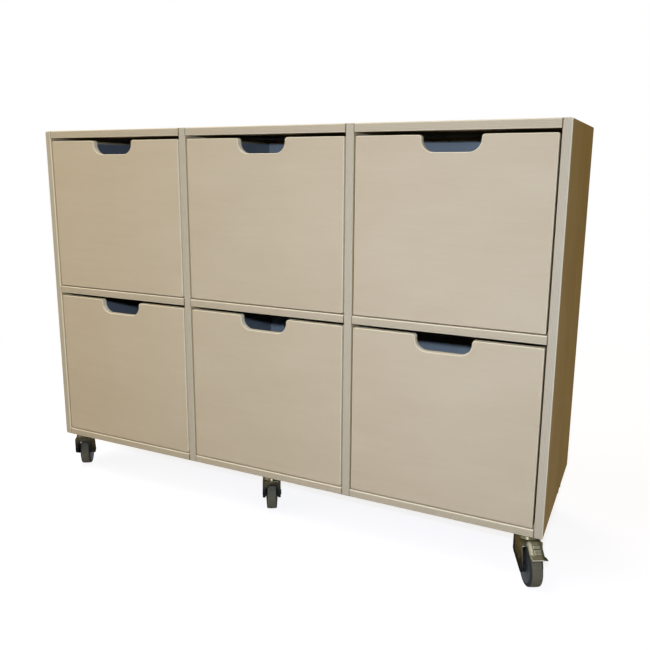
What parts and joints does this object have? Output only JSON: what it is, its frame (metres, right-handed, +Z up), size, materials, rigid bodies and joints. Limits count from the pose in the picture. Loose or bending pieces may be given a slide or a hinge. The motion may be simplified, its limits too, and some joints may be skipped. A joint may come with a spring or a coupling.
{
  "type": "classroom tray storage unit",
  "caption": "Low mobile plywood storage unit with sliding trays behind flush fronts with finger cut-outs, on swivel castors with brakes.",
  "frame": {"origin": "on the floor, under the middle of the carcass", "axes": "+X to the right seen from the front, +Y to the back, +Z up; the tray fronts face -Y"},
  "size_m": [1.3378, 0.4992, 0.942],
  "materials": {
    "birch_ply": "clear satin lacquer on birch plywood",
    "grey_board": "matt blue-grey laminate",
    "zinc_steel": "bright zinc plating",
    "wheel_rubber": "grey rubber tyre on a dark blue-grey plastic wheel"
  },
  "bodies": {
    "carcass": {"side_left": "birch_ply", "divider_left": "birch_ply", "divider_right": "birch_ply", "side_right": "birch_ply", "base_left": "birch_ply", "base_middle": "birch_ply", "base_right": "birch_ply", "shelf_left": "birch_ply", "shelf_middle": "birch_ply", "shelf_right": "birch_ply", "top_left": "birch_ply", "top_middle": "birch_ply", "top_right": "birch_ply", "back_panel": "birch_ply"},
    "drawer_lower_left": {"drawer_lower_left_front": "birch_ply", "drawer_lower_left_wall_left": "grey_board", "drawer_lower_left_wall_right": "grey_board", "drawer_lower_left_wall_rear": "grey_board", "drawer_lower_left_bottom": "grey_board"},
    "drawer_lower_middle": {"drawer_lower_middle_front": "birch_ply", "drawer_lower_middle_wall_left": "grey_board", "drawer_lower_middle_wall_right": "grey_board", "drawer_lower_middle_wall_rear": "grey_board", "drawer_lower_middle_bottom": "grey_board"},
    "drawer_lower_right": {"drawer_lower_right_front": "birch_ply", "drawer_lower_right_wall_left": "grey_board", "drawer_lower_right_wall_right": "grey_board", "drawer_lower_right_wall_rear": "grey_board", "drawer_lower_right_bottom": "grey_board"},
    "drawer_upper_left": {"drawer_upper_left_front": "birch_ply", "drawer_upper_left_wall_left": "grey_board", "drawer_upper_left_wall_right": "grey_board", "drawer_upper_left_wall_rear": "grey_board", "drawer_upper_left_bottom": "grey_board"},
    "drawer_upper_middle": {"drawer_upper_middle_front": "birch_ply", "drawer_upper_middle_wall_left": "grey_board", "drawer_upper_middle_wall_right": "grey_board", "drawer_upper_middle_wall_rear": "grey_board", "drawer_upper_middle_bottom": "grey_board"},
    "drawer_upper_right": {"drawer_upper_right_front": "birch_ply", "drawer_upper_right_wall_left": "grey_board", "drawer_upper_right_wall_right": "grey_board", "drawer_upper_right_wall_rear": "grey_board", "drawer_upper_right_bottom": "grey_board"},
    "castor_front_left_swivel": {"castor_front_left_fork": "zinc_steel"},
    "castor_front_left_roller": {"castor_front_left_wheel": "wheel_rubber"},
    "castor_front_middle_swivel": {"castor_front_middle_fork": "zinc_steel"},
    "castor_front_middle_roller": {"castor_front_middle_wheel": "wheel_rubber"},
    "castor_front_right_swivel": {"castor_front_right_fork": "zinc_steel"},
    "castor_front_right_roller": {"castor_front_right_wheel": "wheel_rubber"},
    "castor_front_right_brake": {"castor_front_right_pedal": "zinc_steel"},
    "castor_rear_left_swivel": {"castor_rear_left_fork": "zinc_steel"},
    "castor_rear_left_roller": {"castor_rear_left_wheel": "wheel_rubber"},
    "castor_rear_left_brake": {"castor_rear_left_pedal": "zinc_steel"},
    "castor_rear_middle_swivel": {"castor_rear_middle_fork": "zinc_steel"},
    "castor_rear_middle_roller": {"castor_rear_middle_wheel": "wheel_rubber"},
    "castor_rear_right_swivel": {"castor_rear_right_fork": "zinc_steel"},
    "castor_rear_right_roller": {"castor_rear_right_wheel": "wheel_rubber"}
  },
  "joints": [
    {"name": "drawer_lower_left_slide", "type": "slide", "parent": "carcass", "child": "drawer_lower_left", "axis": [0, -1, 0], "range_m": [0, 0.3]},
    {"name": "drawer_lower_middle_slide", "type": "slide", "parent": "carcass", "child": "drawer_lower_middle", "axis": [0, -1, 0], "range_m": [0, 0.3]},
    {"name": "drawer_lower_right_slide", "type": "slide", "parent": "carcass", "child": "drawer_lower_right", "axis": [0, -1, 0], "range_m": [0, 0.3]},
    {"name": "drawer_upper_left_slide", "type": "slide", "parent": "carcass", "child": "drawer_upper_left", "axis": [0, -1, 0], "range_m": [0, 0.3]},
    {"name": "drawer_upper_middle_slide", "type": "slide", "parent": "carcass", "child": "drawer_upper_middle", "axis": [0, -1, 0], "range_m": [0, 0.3]},
    {"name": "drawer_upper_right_slide", "type": "slide", "parent": "carcass", "child": "drawer_upper_right", "axis": [0, -1, 0], "range_m": [0, 0.3]},
    {"name": "castor_front_left_swivel_joint", "type": "hinge", "parent": "carcass", "child": "castor_front_left_swivel", "pos_m": [-0.617, -0.171, 0.108], "axis": [0, 0, 1], "continuous": true},
    {"name": "castor_front_left_axle", "type": "hinge", "parent": "castor_front_left_swivel", "child": "castor_front_left_roller", "pos_m": [-0.63334, -0.14584, 0.04], "axis": [-0.8387, -0.5446, 0], "continuous": true},
    {"name": "castor_front_middle_swivel_joint", "type": "hinge", "parent": "carcass", "child": "castor_front_middle_swivel", "pos_m": [0, -0.171, 0.108], "axis": [0, 0, 1], "continuous": true},
    {"name": "castor_front_middle_axle", "type": "hinge", "parent": "castor_front_middle_swivel", "child": "castor_front_middle_roller", "pos_m": [-0.01454, -0.14476, 0.04], "axis": [-0.8746, -0.4848, 0], "continuous": true},
    {"name": "castor_front_right_swivel_joint", "type": "hinge", "parent": "carcass", "child": "castor_front_right_swivel", "pos_m": [0.617, -0.171, 0.108], "axis": [0, 0, 1], "continuous": true},
    {"name": "castor_front_right_axle", "type": "hinge", "parent": "castor_front_right_swivel", "child": "castor_front_right_roller", "pos_m": [0.63108, -0.19749, 0.04], "axis": [0.8829, 0.4695, 0], "continuous": true},
    {"name": "castor_front_right_pedal_hinge", "type": "hinge", "parent": "castor_front_right_swivel", "child": "castor_front_right_brake", "pos_m": [0.62733, -0.19043, 0.087], "axis": [0.8829, 0.4695, 0], "range_deg": [0, 12]},
    {"name": "castor_rear_left_swivel_joint", "type": "hinge", "parent": "carcass", "child": "castor_rear_left_swivel", "pos_m": [-0.617, 0.171, 0.108], "axis": [0, 0, 1], "continuous": true},
    {"name": "castor_rear_left_axle", "type": "hinge", "parent": "castor_rear_left_swivel", "child": "castor_rear_left_roller", "pos_m": [-0.63108, 0.19749, 0.04], "axis": [-0.8829, -0.4695, 0], "continuous": true},
    {"name": "castor_rear_left_pedal_hinge", "type": "hinge", "parent": "castor_rear_left_swivel", "child": "castor_rear_left_brake", "pos_m": [-0.62733, 0.19043, 0.087], "axis": [-0.8829, -0.4695, 0], "range_deg": [0, 12]},
    {"name": "castor_rear_middle_swivel_joint", "type": "hinge", "parent": "carcass", "child": "castor_rear_middle_swivel", "pos_m": [0, 0.171, 0.108], "axis": [0, 0, 1], "continuous": true},
    {"name": "castor_rear_middle_axle", "type": "hinge", "parent": "castor_rear_middle_swivel", "child": "castor_rear_middle_roller", "pos_m": [0.01454, 0.14476, 0.04], "axis": [0.8746, 0.4848, 0], "continuous": true},
    {"name": "castor_rear_right_swivel_joint", "type": "hinge", "parent": "carcass", "child": "castor_rear_right_swivel", "pos_m": [0.617, 0.171, 0.108], "axis": [0, 0, 1], "continuous": true},
    {"name": "castor_rear_right_axle", "type": "hinge", "parent": "castor_rear_right_swivel", "child": "castor_rear_right_roller", "pos_m": [0.587, 0.171, 0.04], "axis": [0, -1, 0], "continuous": true}
  ]
}
